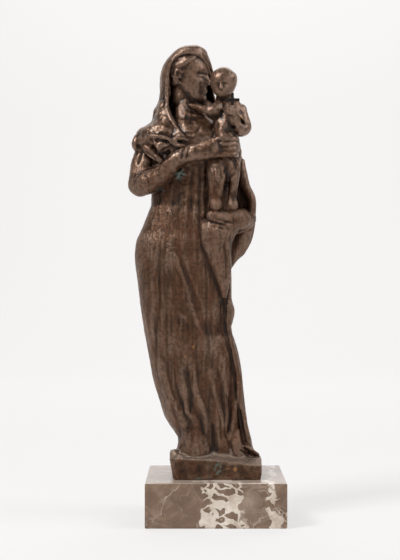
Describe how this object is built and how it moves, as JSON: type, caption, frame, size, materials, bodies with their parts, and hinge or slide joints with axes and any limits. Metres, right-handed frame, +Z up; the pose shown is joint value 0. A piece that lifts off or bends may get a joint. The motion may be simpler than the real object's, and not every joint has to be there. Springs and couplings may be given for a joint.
{
  "type": "madonna and child statue",
  "caption": "Standing madonna and child statuette in patinated bronze on a rough plinth and a veined marble block, with a small cross in the child's fist.",
  "frame": {"origin": "centre of the marble block's underside, where it stands", "axes": "+Z up, along the figure; the group faces -Y; +X is to the viewer's right, the child's side"},
  "size_m": [0.1642, 0.138, 0.5],
  "materials": {
    "patinated_bronze": "brown patinated bronze, rubbed lighter on edges, with traces of verdigris",
    "dark_bronze": "near-black patinated bronze",
    "marble": "polished brown and cream brecciated marble"
  },
  "bodies": {
    "root": {"bronze_group": "patinated_bronze", "cross": "dark_bronze", "marble_base": "marble"}
  },
  "joints": []
}
